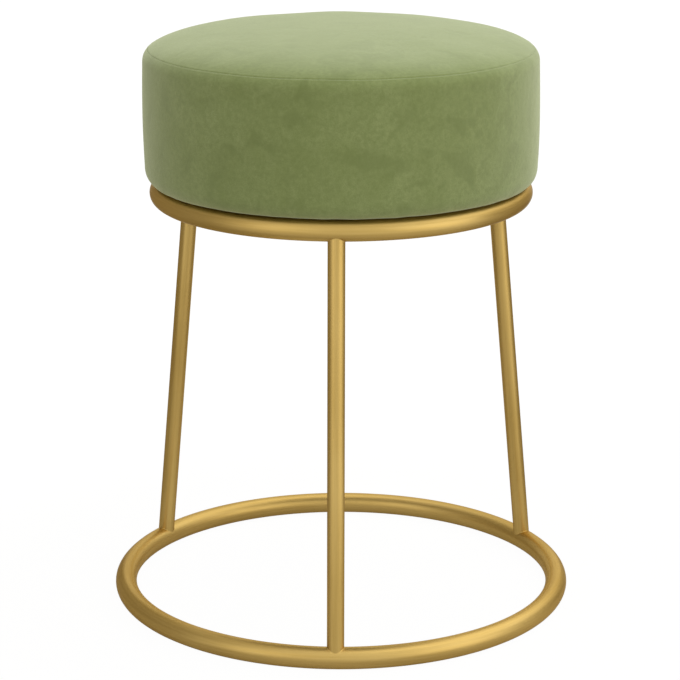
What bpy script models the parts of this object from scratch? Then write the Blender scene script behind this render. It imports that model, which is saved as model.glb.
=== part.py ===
"""Round stool: a drum cushion in velvet on a three-legged frame of gold steel tube.

Metres, +Z up. The origin is on the floor under the middle of the seat, and one leg stands in
front, towards -Y. Two tube rings and three leaning legs are welded into the frame. The seat is
an upholstered board, held down by three screws through lugs inside the upper ring.
"""

import math

import bmesh
import bpy
from mathutils import Matrix, Vector

MM = 0.001

# Fits
SEAT_GAP = 0.3 * MM               # between pieces that rest on or pass through each other
CUT_OVERRUN = 2.0 * MM            # how far a cutter runs past the face that it opens
MERGE_DISTANCE = 0.005 * MM       # points of one mesh nearer than this are one point

# Frame of round steel tube
BASE_RING_DIAMETER = 380.0 * MM   # outside
SEAT_RING_DIAMETER = 310.0 * MM   # outside
SEAT_RING_HEIGHT = 341.5 * MM     # tube centre above the floor
RING_TUBE_DIAMETER = 17.5 * MM
RING_TUBE_WALL = 1.2 * MM
LEG_TUBE_DIAMETER = 13.5 * MM
LEG_TUBE_WALL = 1.0 * MM
VENT_DIAMETER = 6.0 * MM          # drilled in the rings under each leg, to let out weld gas

# Lugs inside the seat ring
TAB_THICKNESS = 3.0 * MM
TAB_WIDTH = 24.0 * MM
TAB_REACH = 18.0 * MM             # from the inside of the ring to the middle of the screw hole
TAB_HOLE_DIAMETER = 6.6 * MM

# Screws, washers and threaded inserts
SCREW_DIAMETER = 6.0 * MM
SCREW_ENGAGEMENT = 7.0 * MM       # length of thread inside the insert
SCREW_TIP_CHAMFER = 0.8 * MM
SCREW_HEAD_DIAMETER = 11.0 * MM
SCREW_HEAD_HEIGHT = 3.3 * MM
SCREW_HEAD_RIM = 0.6 * MM         # straight edge of the domed head
SCREW_SOCKET_WIDTH = 4.0 * MM     # across the flats
SCREW_SOCKET_DEPTH = 1.8 * MM
WASHER_DIAMETER = 14.0 * MM
WASHER_THICKNESS = 1.4 * MM
TEE_NUT_FLANGE_DIAMETER = 19.0 * MM
TEE_NUT_FLANGE_THICKNESS = 1.2 * MM
TEE_NUT_BARREL_LENGTH = 9.0 * MM
TEE_NUT_BARREL_WALL = 0.8 * MM

# Seat board and lining
BOARD_THICKNESS = 12.0 * MM
BOARD_INSET = 8.4 * MM            # edge of the board inside the straight side of the cushion
BOARD_EDGE_ROUND = 1.5 * MM
DUST_COVER_THICKNESS = 0.5 * MM
DUST_COVER_INSET = 1.5 * MM       # edge of the lining inside the seat ring's opening

# Staples
STAPLE_CROWN = 10.0 * MM
STAPLE_LEG = 8.0 * MM
STAPLE_WIRE_WIDTH = 1.2 * MM
STAPLE_WIRE_THICKNESS = 0.6 * MM
STAPLE_INSET = 5.5 * MM           # from the edge of the lining
STAPLE_TAB_MARGIN = 6.0 * MM      # from a lug's edge to the end of the nearest staple
STAPLES_PER_BAY = 6               # a bay is the space between two lugs

# Cushion
CUSHION_OVERHANG = 3.6 * MM       # side of the cushion beyond the seat ring's outside
CUSHION_SIDE_BULGE = 0.8 * MM     # swell at half height
CUSHION_TAPER = 0.2 * MM          # foot of the side inside its top
CUSHION_SIDE_HEIGHT = 81.0 * MM   # nearly straight part of the side
CUSHION_FOOT_RISE = 12.4 * MM     # rounded foot of the side
CUSHION_FOOT_REACH = 7.1 * MM
CROWN_RISE = 31.0 * MM            # from the top of the side to the middle of the crown
CROWN_FULLNESS = 3.16             # 2 is an ellipse, more is flatter with a rounder shoulder
SEAM_INSET = 2.8 * MM             # seam inside the side of the cushion
SEAM_GAP = 0.3 * MM
VELVET_THICKNESS = 1.2 * MM
HEM_OVERLAP = 11.0 * MM           # how far the hem runs in under the lining

# Angles about the stool's axis, where a right angle more is anticlockwise seen from above
LEG_ANGLES = {"leg_front": -90, "leg_rear_right": 30, "leg_rear_left": 150}
TAB_ANGLES = {"rear": 90, "front_left": 210, "front_right": 330}

# Facets
RING_STEPS = 60
SEAT_STEPS = 48
TUBE_SIDES = 12
BORE_SIDES = 8
LEG_SIDES = 20
FASTENER_SIDES = 16
TAB_TIP_STEPS = 8
CROWN_STEPS = 8
SHOULDER_STEPS = 3
SIDE_STEPS = 2
FOOT_STEPS = 3
HEAD_STEPS = 3
SHARP_ANGLE = 35                  # degrees between faces that are shaded as an edge

# Heights and radii that follow from the sizes above
TUBE_RADIUS = RING_TUBE_DIAMETER / 2
LEG_RADIUS = LEG_TUBE_DIAMETER / 2
BASE_RING_RADIUS = BASE_RING_DIAMETER / 2 - TUBE_RADIUS
SEAT_RING_RADIUS = SEAT_RING_DIAMETER / 2 - TUBE_RADIUS
BASE_RING_HEIGHT = TUBE_RADIUS
RING_CROWN_Z = SEAT_RING_HEIGHT + TUBE_RADIUS

TAB_TOP_Z = RING_CROWN_Z
TAB_UNDER_Z = TAB_TOP_Z - TAB_THICKNESS
DUST_UNDER_Z = TAB_TOP_Z + SEAT_GAP
DUST_TOP_Z = DUST_UNDER_Z + DUST_COVER_THICKNESS
HEM_UNDER_Z = DUST_TOP_Z + SEAT_GAP
BOARD_UNDER_Z = HEM_UNDER_Z + VELVET_THICKNESS + SEAT_GAP
BOARD_TOP_Z = BOARD_UNDER_Z + BOARD_THICKNESS

DUST_COVER_RADIUS = SEAT_RING_RADIUS - TUBE_RADIUS - DUST_COVER_INSET
HEM_INNER_RADIUS = DUST_COVER_RADIUS - HEM_OVERLAP
STAPLE_RADIUS = DUST_COVER_RADIUS - STAPLE_INSET
SCREW_RING_RADIUS = SEAT_RING_RADIUS - TUBE_RADIUS - TAB_REACH

CUSHION_RADIUS = SEAT_RING_DIAMETER / 2 + CUSHION_OVERHANG
CUSHION_FOOT_RADIUS = CUSHION_RADIUS - CUSHION_TAPER
CUSHION_SIDE_UNDER_Z = HEM_UNDER_Z + CUSHION_FOOT_RISE
CUSHION_SIDE_TOP_Z = CUSHION_SIDE_UNDER_Z + CUSHION_SIDE_HEIGHT
BOARD_RADIUS = CUSHION_RADIUS - BOARD_INSET

WASHER_TOP_Z = TAB_UNDER_Z - SEAT_GAP
SCREW_SEAT_Z = WASHER_TOP_Z - WASHER_THICKNESS - SEAT_GAP
TEE_NUT_TOP_Z = BOARD_TOP_Z - SEAT_GAP
TEE_NUT_BARREL_UNDER_Z = TEE_NUT_TOP_Z - TEE_NUT_FLANGE_THICKNESS - TEE_NUT_BARREL_LENGTH
SCREW_TIP_Z = TEE_NUT_BARREL_UNDER_Z + SCREW_ENGAGEMENT


# Scene, collections and materials
def empty_scene():
    for old in list(bpy.data.objects):
        bpy.data.objects.remove(old, do_unlink=True)


def new_collection(name):
    collection = bpy.data.collections.new(name)
    bpy.context.scene.collection.children.link(collection)
    return collection


def new_material(name, colour, roughness, metallic=0.0):
    material = bpy.data.materials.new(name)
    material.use_nodes = True
    shader = material.node_tree.nodes["Principled BSDF"]
    shader.inputs["Base Color"].default_value = (*colour, 1.0)
    shader.inputs["Roughness"].default_value = roughness
    shader.inputs["Metallic"].default_value = metallic
    material.diffuse_color = (*colour, 1.0)
    return material


empty_scene()
PARTS = new_collection("Round stool")
CUTTERS = new_collection("Cutters")
GOLD = new_material("Satin gold steel", (0.62, 0.42, 0.16), 0.32, 1.0)
VELVET = new_material("Olive velvet", (0.20, 0.23, 0.10), 0.95)
FOAM = new_material("Seat foam", (0.86, 0.82, 0.66), 0.9)
PLYWOOD = new_material("Plywood", (0.62, 0.46, 0.28), 0.7)
ZINC = new_material("Zinc-plated steel", (0.62, 0.62, 0.60), 0.35, 1.0)
LINING = new_material("Black lining", (0.02, 0.02, 0.02), 0.9)

STOOL = bpy.data.objects.new("round_stool", None)
PARTS.objects.link(STOOL)


# Building blocks
def add_part(name, mesh, material, turn=0):
    """One sub-part, turned in degrees about the stool's axis."""
    part = bpy.data.objects.new(name, mesh)
    part.rotation_euler.z = math.radians(turn)
    part.parent = STOOL
    if not mesh.materials:
        mesh.materials.append(material)
    mesh.shade_smooth()
    mesh.set_sharp_from_angle(angle=math.radians(SHARP_ANGLE))
    PARTS.objects.link(part)
    return part


def as_cutter(cutter):
    cutter.hide_render = True
    cutter.display_type = "WIRE"
    CUTTERS.objects.link(cutter)
    return cutter


def mesh_object(name, mesh_builder):
    """An object with the mesh that a bmesh function fills in."""
    mesh = bpy.data.meshes.new(name)
    bm = bmesh.new()
    mesh_builder(bm)
    bm.to_mesh(mesh)
    bm.free()
    return bpy.data.objects.new(name, mesh)


def turned(name, outline, closed=False, steps=SEAT_STEPS):
    """A profile of (radius, height) points, top to bottom on its outer side, turned about Z."""
    def profile(bm):
        points = [bm.verts.new((radius, 0, height)) for radius, height in outline]
        for start, end in zip(points, points[1:]):
            bm.edges.new((start, end))
        if closed:
            bm.edges.new((points[-1], points[0]))

    shape = mesh_object(name, profile)
    screw = shape.modifiers.new("Turn", "SCREW")
    screw.steps = steps
    screw.render_steps = steps
    screw.use_merge_vertices = True
    screw.merge_threshold = MERGE_DISTANCE
    return shape


def cut(shape, *cutters):
    for cutter in cutters:
        boolean = shape.modifiers.new("Cut by " + cutter.name, "BOOLEAN")
        boolean.operation = "DIFFERENCE"
        boolean.solver = "EXACT"
        boolean.object = cutter


def finished_mesh(shape, name):
    """The evaluated mesh of a scratch object, which is removed."""
    if not shape.users_collection:
        CUTTERS.objects.link(shape)
    bpy.context.view_layer.update()
    evaluated = shape.evaluated_get(bpy.context.evaluated_depsgraph_get())
    mesh = bpy.data.meshes.new_from_object(evaluated)
    mesh.transform(shape.matrix_world)
    mesh.name = name
    bpy.data.objects.remove(shape, do_unlink=True)
    bm = bmesh.new()
    bm.from_mesh(mesh)
    bmesh.ops.remove_doubles(bm, verts=bm.verts, dist=MERGE_DISTANCE)
    bm.to_mesh(mesh)
    bm.free()
    return mesh


def tube_section(centre_radius, centre_height, radius, sides):
    """Section of a bent tube, whose facets lie on its round and start with a flat one on top."""
    corner = radius / math.cos(math.pi / sides)
    angles = [math.pi * (2 * side + 1) / sides for side in range(sides)]
    return [(centre_radius + corner * math.sin(a), centre_height + corner * math.cos(a))
            for a in angles]


def ring_solid(name, centre_radius, centre_height, radius, sides=TUBE_SIDES):
    section = tube_section(centre_radius, centre_height, radius, sides)
    return turned(name, section, closed=True, steps=RING_STEPS)


def cylinder(name, radius, low, high, sides=FASTENER_SIDES):
    """A cylinder between two points."""
    axis = high - low

    def column(bm):
        bmesh.ops.create_cone(bm, cap_ends=True, segments=sides, radius1=radius, radius2=radius,
                              depth=axis.length)
        bmesh.ops.rotate(bm, verts=bm.verts, matrix=axis.to_track_quat("Z", "Y").to_matrix())
        bmesh.ops.translate(bm, verts=bm.verts, vec=(low + high) / 2)

    return mesh_object(name, column)


# Frame
LEG_FOOT = Vector((BASE_RING_RADIUS, 0, BASE_RING_HEIGHT))
LEG_HEAD = Vector((SEAT_RING_RADIUS, 0, SEAT_RING_HEIGHT))


def add_ring(name, centre_radius, centre_height, leg_end, leg_other_end):
    """A hollow ring of tube, drilled where each leg's bore meets it."""
    ring = ring_solid(name, centre_radius, centre_height, TUBE_RADIUS)
    bore_radius = TUBE_RADIUS - RING_TUBE_WALL
    bore = ring_solid(name + "_bore", centre_radius, centre_height, bore_radius, BORE_SIDES)
    cut(ring, as_cutter(bore))
    along = (leg_other_end - leg_end).normalized()
    vent_end = leg_end + along * (TUBE_RADIUS + CUT_OVERRUN)
    for leg_name, angle in LEG_ANGLES.items():
        vent = as_cutter(cylinder(name + "_vent_" + leg_name, VENT_DIAMETER / 2, leg_end, vent_end))
        vent.rotation_euler.z = math.radians(angle)
        cut(ring, vent)
    add_part(name, finished_mesh(ring, name), GOLD)


def add_legs():
    """Straight tubes from ring to ring, coped to sit on both."""
    blank = cylinder("leg", LEG_RADIUS, LEG_FOOT, LEG_HEAD, LEG_SIDES)
    along = (LEG_HEAD - LEG_FOOT).normalized() * CUT_OVERRUN
    bore_radius = LEG_RADIUS - LEG_TUBE_WALL
    bore = cylinder("leg_bore", bore_radius, LEG_FOOT - along, LEG_HEAD + along, LEG_SIDES)
    saddle_radius = TUBE_RADIUS + SEAT_GAP
    base_saddle = ring_solid("base_saddle", BASE_RING_RADIUS, BASE_RING_HEIGHT, saddle_radius)
    seat_saddle = ring_solid("seat_saddle", SEAT_RING_RADIUS, SEAT_RING_HEIGHT, saddle_radius)
    cut(blank, as_cutter(bore), as_cutter(base_saddle), as_cutter(seat_saddle))
    mesh = finished_mesh(blank, "leg")
    for name, angle in LEG_ANGLES.items():
        add_part(name, mesh, GOLD, angle)


def add_tabs():
    """Flat lugs with a round inner end, coped to the inside of the seat ring."""
    half_width = TAB_WIDTH / 2
    tip = [math.pi * (0.5 + step / TAB_TIP_STEPS) for step in range(TAB_TIP_STEPS + 1)]
    outline = [(SCREW_RING_RADIUS + half_width * math.cos(a), half_width * math.sin(a)) for a in tip]
    outline += [(SEAT_RING_RADIUS, -half_width), (SEAT_RING_RADIUS, half_width)]

    curve = bpy.data.curves.new("seat_tab", "CURVE")
    curve.dimensions = "2D"
    curve.fill_mode = "BOTH"
    curve.extrude = TAB_THICKNESS / 2
    spline = curve.splines.new("POLY")
    spline.points.add(len(outline) - 1)
    for point, (x, y) in zip(spline.points, outline):
        point.co = (x, y, 0, 1)
    spline.use_cyclic_u = True
    flat = bpy.data.objects.new("seat_tab", curve)
    flat.location.z = (TAB_TOP_Z + TAB_UNDER_Z) / 2
    plate = bpy.data.objects.new("seat_tab", finished_mesh(flat, "seat_tab"))

    low = Vector((SCREW_RING_RADIUS, 0, TAB_UNDER_Z - CUT_OVERRUN))
    high = Vector((SCREW_RING_RADIUS, 0, TAB_TOP_Z + CUT_OVERRUN))
    hole = as_cutter(cylinder("tab_hole", TAB_HOLE_DIAMETER / 2, low, high))
    cut(plate, hole, bpy.data.objects["seat_saddle"])
    mesh = finished_mesh(plate, "seat_tab")
    for place, angle in TAB_ANGLES.items():
        add_part("seat_tab_" + place, mesh, GOLD, angle)


# Screws, washers and inserts
def moved_out(mesh):
    """Moves a piece turned about its own axis out to the screws' circle."""
    for vertex in mesh.vertices:
        vertex.co.x += SCREW_RING_RADIUS
    return mesh


def add_screws():
    shank = SCREW_DIAMETER / 2
    head = SCREW_HEAD_DIAMETER / 2
    socket_corner = SCREW_SOCKET_WIDTH / math.sqrt(3)
    head_flat = socket_corner + SCREW_HEAD_RIM
    rim_z = SCREW_SEAT_Z - SCREW_HEAD_RIM
    under_z = SCREW_SEAT_Z - SCREW_HEAD_HEIGHT
    outline = [(0, SCREW_TIP_Z), (shank - SCREW_TIP_CHAMFER, SCREW_TIP_Z),
               (shank, SCREW_TIP_Z - SCREW_TIP_CHAMFER), (shank, SCREW_SEAT_Z),
               (head, SCREW_SEAT_Z), (head, rim_z)]
    for step in range(1, HEAD_STEPS + 1):
        angle = math.pi / 2 * step / HEAD_STEPS
        outline.append((head_flat + (head - head_flat) * math.cos(angle),
                        rim_z + (under_z - rim_z) * math.sin(angle)))
    outline.append((0, under_z))
    screw = turned("seat_screw", outline, steps=FASTENER_SIDES)
    socket_top = Vector((0, 0, under_z + SCREW_SOCKET_DEPTH))
    socket_mouth = Vector((0, 0, under_z - CUT_OVERRUN))
    cut(screw, as_cutter(cylinder("screw_socket", socket_corner, socket_mouth, socket_top, 6)))
    mesh = moved_out(finished_mesh(screw, "seat_screw"))
    for place, angle in TAB_ANGLES.items():
        add_part("seat_screw_" + place, mesh, ZINC, angle)


def add_washers():
    bore = SCREW_DIAMETER / 2 + SEAT_GAP
    edge = WASHER_DIAMETER / 2
    under = WASHER_TOP_Z - WASHER_THICKNESS
    outline = [(bore, WASHER_TOP_Z), (edge, WASHER_TOP_Z), (edge, under), (bore, under)]
    washer = turned("screw_washer", outline, closed=True, steps=FASTENER_SIDES)
    mesh = moved_out(finished_mesh(washer, "screw_washer"))
    for place, angle in TAB_ANGLES.items():
        add_part("screw_washer_" + place, mesh, ZINC, angle)


def tee_nut_sizes(clearance):
    """Flange radius, barrel radius and flange underside, with room round them for a hole."""
    flange = TEE_NUT_FLANGE_DIAMETER / 2 + clearance
    barrel = SCREW_DIAMETER / 2 + SEAT_GAP + TEE_NUT_BARREL_WALL + clearance
    flange_under = TEE_NUT_TOP_Z - TEE_NUT_FLANGE_THICKNESS - clearance
    return flange, barrel, flange_under


def add_tee_nuts():
    bore = SCREW_DIAMETER / 2 + SEAT_GAP
    flange, barrel, flange_under = tee_nut_sizes(0)
    outline = [(bore, TEE_NUT_TOP_Z), (flange, TEE_NUT_TOP_Z), (flange, flange_under),
               (barrel, flange_under), (barrel, TEE_NUT_BARREL_UNDER_Z),
               (bore, TEE_NUT_BARREL_UNDER_Z)]
    nut = turned("tee_nut", outline, closed=True, steps=FASTENER_SIDES)
    mesh = moved_out(finished_mesh(nut, "tee_nut"))
    for place, angle in TAB_ANGLES.items():
        add_part("tee_nut_" + place, mesh, ZINC, angle)


def insert_holes():
    """Stepped holes through the board, and through the cloth under it, for the inserts."""
    flange, barrel, flange_under = tee_nut_sizes(SEAT_GAP)
    over = BOARD_TOP_Z + CUT_OVERRUN
    under = DUST_UNDER_Z - CUT_OVERRUN
    outline = [(0, over), (flange, over), (flange, flange_under), (barrel, flange_under),
               (barrel, under), (0, under)]
    mesh = moved_out(finished_mesh(turned("hole", outline, steps=FASTENER_SIDES), "insert_hole"))
    holes = []
    for place, angle in TAB_ANGLES.items():
        hole = as_cutter(bpy.data.objects.new("insert_hole_" + place, mesh))
        hole.rotation_euler.z = math.radians(angle)
        holes.append(hole)
    return holes


# Staples
def staple_angles():
    """Even steps along each bay between two lugs, clear of the lugs, in degrees."""
    clear = TAB_WIDTH / 2 + STAPLE_TAB_MARGIN + STAPLE_CROWN / 2
    first = math.degrees(math.asin(clear / STAPLE_RADIUS))
    bay = 360 / len(TAB_ANGLES)
    step = (bay - 2 * first) / (STAPLES_PER_BAY - 1)
    return [start + first + step * place
            for start in TAB_ANGLES.values() for place in range(STAPLES_PER_BAY)]


def add_staples():
    """Bent wire staples, crown down, driven up through the cloth into the board."""
    half = STAPLE_CROWN / 2
    wire = STAPLE_WIRE_THICKNESS
    crown_under = -wire
    inner = half - wire
    outline = [(-half, crown_under), (half, crown_under), (half, STAPLE_LEG), (inner, STAPLE_LEG),
               (inner, 0), (-inner, 0), (-inner, STAPLE_LEG), (-half, STAPLE_LEG)]
    curve = bpy.data.curves.new("staple", "CURVE")
    curve.dimensions = "2D"
    curve.fill_mode = "BOTH"
    curve.extrude = STAPLE_WIRE_WIDTH / 2
    spline = curve.splines.new("POLY")
    spline.points.add(len(outline) - 1)
    for point, (x, y) in zip(spline.points, outline):
        point.co = (x, y, 0, 1)
    spline.use_cyclic_u = True
    bent = bpy.data.objects.new("staple", curve)
    bent.rotation_euler = (math.pi / 2, 0, math.pi / 2)
    bent.location = (STAPLE_RADIUS, 0, DUST_UNDER_Z - SEAT_GAP)
    mesh = finished_mesh(bent, "staple")
    for number, angle in enumerate(staple_angles(), 1):
        add_part(f"staple_{number:02d}", mesh, ZINC, angle)


def staple_slots():
    """One cutter with a slot round the legs of every staple."""
    length = STAPLE_CROWN + 2 * SEAT_GAP
    width = STAPLE_WIRE_WIDTH + 2 * SEAT_GAP
    low = DUST_UNDER_Z - CUT_OVERRUN
    high = DUST_UNDER_Z + STAPLE_LEG
    size = Vector((width, length, high - low))
    centre = Vector((STAPLE_RADIUS, 0, (low + high) / 2))

    def slots(bm):
        for angle in staple_angles():
            made = bmesh.ops.create_cube(bm, size=1)["verts"]
            bmesh.ops.scale(bm, verts=made, vec=size)
            bmesh.ops.translate(bm, verts=made, vec=centre)
            turn = Matrix.Rotation(math.radians(angle), 3, "Z")
            bmesh.ops.rotate(bm, verts=made, matrix=turn)

    return as_cutter(mesh_object("staple_slots", slots))


# Board and lining
def add_board(holes, slots):
    edge = BOARD_EDGE_ROUND
    outline = [(0, BOARD_TOP_Z), (BOARD_RADIUS - edge, BOARD_TOP_Z),
               (BOARD_RADIUS, BOARD_TOP_Z - edge), (BOARD_RADIUS, BOARD_UNDER_Z + edge),
               (BOARD_RADIUS - edge, BOARD_UNDER_Z), (0, BOARD_UNDER_Z)]
    board = turned("seat_board", outline)
    cut(board, *holes, slots)
    add_part("seat_board", finished_mesh(board, "seat_board"), PLYWOOD)


def add_dust_cover(holes, slots):
    outline = [(0, DUST_TOP_Z), (DUST_COVER_RADIUS, DUST_TOP_Z),
               (DUST_COVER_RADIUS, DUST_UNDER_Z), (0, DUST_UNDER_Z)]
    lining = turned("dust_cover", outline)
    cut(lining, *holes, slots)
    add_part("dust_cover", finished_mesh(lining, "dust_cover"), LINING)


# Cushion
def crown_point(angle):
    """A point on the crown, from its middle at 0 to the top of the side at a right angle."""
    height = CROWN_RISE * math.cos(angle) ** (2 / CROWN_FULLNESS)
    return CUSHION_RADIUS * math.sin(angle), CUSHION_SIDE_TOP_Z + height


def crown_outline():
    """Outside of the top panel, from the middle of the crown to the seam."""
    seam_angle = math.asin((CUSHION_RADIUS - SEAM_INSET) / CUSHION_RADIUS)
    return [crown_point(seam_angle * step / CROWN_STEPS) for step in range(CROWN_STEPS + 1)]


def band_outline():
    """Outside of the side band below the seam, down to the rounded foot of the cushion."""
    seam_angle = math.asin((CUSHION_RADIUS - SEAM_INSET) / CUSHION_RADIUS)
    rest = math.pi / 2 - seam_angle
    points = [crown_point(seam_angle + rest * step / SHOULDER_STEPS)
              for step in range(1, SHOULDER_STEPS)]
    points.append((CUSHION_RADIUS, CUSHION_SIDE_TOP_Z))
    for step in range(1, SIDE_STEPS):
        share = step / SIDE_STEPS
        bulge = 4 * CUSHION_SIDE_BULGE * share * (1 - share)
        points.append((CUSHION_RADIUS - CUSHION_TAPER * share + bulge,
                       CUSHION_SIDE_TOP_Z - CUSHION_SIDE_HEIGHT * share))
    for step in range(FOOT_STEPS + 1):
        angle = math.pi / 2 * step / FOOT_STEPS
        points.append((CUSHION_FOOT_RADIUS - CUSHION_FOOT_REACH * (1 - math.cos(angle)),
                       CUSHION_SIDE_UNDER_Z - CUSHION_FOOT_RISE * math.sin(angle)))
    return points


def inset(outline, depth):
    """The outline moved inwards, keeping its ends square to their first and last stretch."""
    moved = []
    for place, (radius, height) in enumerate(outline):
        here = Vector((radius, height))
        before = Vector(outline[max(place - 1, 0)])
        after = Vector(outline[min(place + 1, len(outline) - 1)])
        stretches = [s.normalized() for s in (here - before, after - here) if s.length > 0]
        normals = [Vector((-s.y, s.x)) for s in stretches]
        normal = sum(normals, Vector((0, 0))).normalized()
        moved.append(here - normal * depth / normal.dot(normals[0]))
    moved[0].x = max(moved[0].x, 0)
    return [tuple(point) for point in moved]


def between(start, end, distance):
    """The point at a distance from the start of a stretch."""
    a, b = Vector(start), Vector(end)
    return tuple(a.lerp(b, distance / (b - a).length))


def cover_outlines():
    """Outer and inner side of the whole cover, and the place of the seam in both."""
    crown = crown_outline()
    outer = crown + band_outline() + [(HEM_INNER_RADIUS, HEM_UNDER_Z)]
    outer[0] = (0, outer[0][1])
    inner = inset(outer, VELVET_THICKNESS)
    inner[0] = (0, inner[0][1])
    return outer, inner, len(crown)


def add_cover(slots):
    """Velvet sewn from a round top panel and a side band turned under the board."""
    outer, inner, seam = cover_outlines()
    panel = turned("cover_top_panel", outer[:seam] + inner[:seam][::-1])
    add_part("cover_top_panel", finished_mesh(panel, "cover_top_panel"), VELVET)

    outer_edge = between(outer[seam - 1], outer[seam], SEAM_GAP)
    inner_edge = between(inner[seam - 1], inner[seam], SEAM_GAP)
    outline = [outer_edge] + outer[seam:] + inner[seam:][::-1] + [inner_edge]
    band = turned("cover_side_band", outline, closed=True)
    cut(band, slots)
    add_part("cover_side_band", finished_mesh(band, "cover_side_band"), VELVET)


def add_foam():
    """Foam that fills the cover and wraps the edge of the board."""
    outer = cover_outlines()[0]
    skin = inset(outer, VELVET_THICKNESS + SEAT_GAP)[:-1]
    skin[0] = (0, skin[0][1])
    recess = BOARD_RADIUS + SEAT_GAP
    board_top = BOARD_TOP_Z + SEAT_GAP
    outline = skin + [(recess, skin[-1][1]), (recess, board_top), (0, board_top)]
    foam = turned("seat_foam", outline)
    add_part("seat_foam", finished_mesh(foam, "seat_foam"), FOAM)


# The stool, put together from the floor up
add_ring("base_ring", BASE_RING_RADIUS, BASE_RING_HEIGHT, LEG_FOOT, LEG_HEAD)
add_ring("seat_ring", SEAT_RING_RADIUS, SEAT_RING_HEIGHT, LEG_HEAD, LEG_FOOT)
add_legs()
add_tabs()
add_washers()
add_screws()
add_tee_nuts()
HOLES = insert_holes()
SLOTS = staple_slots()
add_staples()
add_dust_cover(HOLES, SLOTS)
add_board(HOLES, SLOTS)
add_foam()
add_cover(SLOTS)
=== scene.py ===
import math

import bpy
import numpy as np
from mathutils import Matrix, Vector, noise


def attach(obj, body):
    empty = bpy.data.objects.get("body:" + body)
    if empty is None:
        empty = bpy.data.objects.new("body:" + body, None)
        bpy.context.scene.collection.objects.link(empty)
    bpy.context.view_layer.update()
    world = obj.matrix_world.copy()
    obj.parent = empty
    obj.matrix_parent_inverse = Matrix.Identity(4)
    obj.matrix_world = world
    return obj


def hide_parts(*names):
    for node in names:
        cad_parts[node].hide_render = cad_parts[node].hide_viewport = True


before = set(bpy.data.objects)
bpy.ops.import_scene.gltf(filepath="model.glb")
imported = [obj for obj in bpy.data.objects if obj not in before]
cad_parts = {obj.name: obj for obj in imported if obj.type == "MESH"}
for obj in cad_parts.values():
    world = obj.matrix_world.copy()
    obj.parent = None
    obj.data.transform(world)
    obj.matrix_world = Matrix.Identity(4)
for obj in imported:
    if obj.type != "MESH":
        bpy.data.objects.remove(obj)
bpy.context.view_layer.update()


# Floor ring
# Round steel tube rolled into a circle, butt-welded and ground flush. The whole frame is
# brushed lengthwise and then plated satin gold under a thin clear lacquer.
MM = 0.001
TUBE_RADIUS = 8.75 * MM
FLOOR_RING_RADIUS = 181.25 * MM
FLOOR_RING_HEIGHT = 8.75 * MM
RING_STEPS = 240
TUBE_STEPS = 40
GOLD_PALE = (0.61, 0.425, 0.136, 1)
GOLD_DEEP = (0.51, 0.340, 0.094, 1)
GOLD_EDGE = (0.70, 0.56, 0.38, 1)
GOLD_TONES = (1.2, 1.8)
GOLD_ROUGHNESS = (0.42, 0.47)
LACQUER = 0.12
LACQUER_ROUGHNESS = 0.22
BRUSH_STREAKS = (14, 620, 1)
BRUSH_BANDS = (7, 130, 1)
BRUSH_STRENGTH = 0.15
BRUSH_DEPTH = 0.02 * MM
PLATING_CLOUDS = 11
NOISE_MIDDLE = (0.35, 0.65)


def once_round(steps):
    """Even turns from nought to a full turn, both included."""
    return np.linspace(0, math.tau, steps + 1)


def round_the_axis(reach, turn, height):
    """Points at these distances from the upright axis, turned round it, at these heights."""
    return np.stack(np.broadcast_arrays(reach * np.cos(turn), reach * np.sin(turn), height), -1)


def skin(rows, along=None, across=None, ring=False, caps=None, sharp=None):
    """A closed skin over rows of points, each row a closed loop. Caps close both ends, unless
    the rows make a ring. along and across give the UV map its metres over the rows and round
    them; without them it is the plan from above. Bends of more than sharp degrees stay sharp."""
    rows = np.asarray(rows, float)
    count, width = rows.shape[:2]
    points = rows.reshape(-1, 3)
    lower = np.arange(count if ring else count - 1)
    low, left = (grid.ravel() for grid in np.meshgrid(lower, np.arange(width), indexing="ij"))
    right, high = left + 1, low + 1
    quads = np.stack([low * width + left, low * width + right % width,
                      high % count * width + right % width, high % count * width + left], 1)
    corners = np.stack([low, left, low, right, high, right, high, left], 1).reshape(-1, 2)
    faces = quads.tolist()
    if caps is not None:
        start, end, last = len(points), len(points) + 1, count - 1
        points = np.vstack([points, caps])
        cap_corners = []
        for here in range(width):
            beyond = (here + 1) % width
            faces += [[start, beyond, here],
                      [end, last * width + here, last * width + beyond]]
            cap_corners += [[0, here], [0, here + 1], [0, here],
                            [last, here], [last, here], [last, here + 1]]
        corners = np.vstack([corners, cap_corners])
    mesh = bpy.data.meshes.new("skin")
    mesh.from_pydata(points.tolist(), [], faces)
    if along is None:
        plan = points[np.concatenate(faces)][:, :2]
    else:
        plan = np.stack([along[corners[:, 0]], across[corners[:, 1]]], 1)
    layer = mesh.uv_layers.new(name="metres")
    layer.data.foreach_set("uv", plan.astype(np.float32).ravel())
    mesh.calc_loop_triangles()
    triangles = np.zeros(len(mesh.loop_triangles) * 3, np.int32)
    mesh.loop_triangles.foreach_get("vertices", triangles)
    a, b, c = points[triangles.reshape(-1, 3).T]
    if (a * np.cross(b, c)).sum() < 0:
        mesh.flip_normals()
    mesh.shade_smooth()
    if sharp:
        mesh.set_sharp_from_angle(angle=math.radians(sharp))
    return mesh


def tube_ring(radius, height):
    """A ring of round tube, with the UV map running along the tube and round it."""
    turn, roll = once_round(RING_STEPS), once_round(TUBE_STEPS)
    t, r = np.meshgrid(turn[:-1], roll[:-1], indexing="ij")
    rows = round_the_axis(radius + TUBE_RADIUS * np.cos(r), t, height + TUBE_RADIUS * np.sin(r))
    return skin(rows, turn * radius, roll * TUBE_RADIUS, ring=True)


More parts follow.
